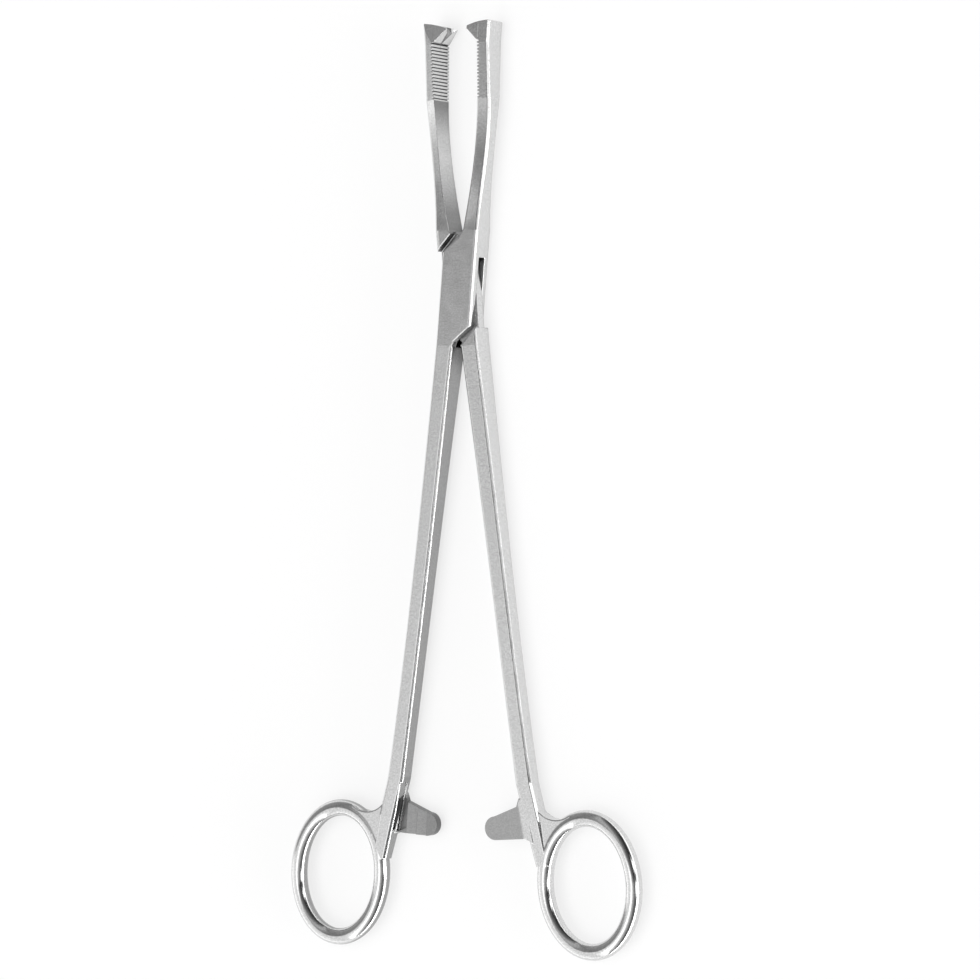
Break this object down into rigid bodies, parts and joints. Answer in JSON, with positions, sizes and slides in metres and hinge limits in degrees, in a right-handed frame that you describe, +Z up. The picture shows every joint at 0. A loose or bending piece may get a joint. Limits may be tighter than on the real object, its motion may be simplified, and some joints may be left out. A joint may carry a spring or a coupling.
{
  "type": "vulsellum forceps",
  "caption": "Straight ring-handled vulsellum forceps with a box lock, meshing pronged jaw tips, cross-serrated jaws and a ratchet between the shanks.",
  "frame": {"origin": "on the lock pin's axis, at the underside of the box lock", "axes": "+Z up out of the plane that the instrument lies in, +Y along the instrument towards the jaw tips, +X towards the finger ring of the half that passes through the lock"},
  "size_m": [0.1046, 0.2404, 0.009],
  "materials": {
    "satin_steel": "satin-polished stainless steel"
  },
  "bodies": {
    "box_half": {"box_half": "satin_steel", "lock_pin": "satin_steel"},
    "through_half": {"through_half": "satin_steel"}
  },
  "joints": [
    {"name": "lock_hinge", "type": "hinge", "parent": "box_half", "child": "through_half", "pos_m": [0, 0, 0.0036], "axis": [0, 0, 1], "range_deg": [-9.4, 40]}
  ]
}
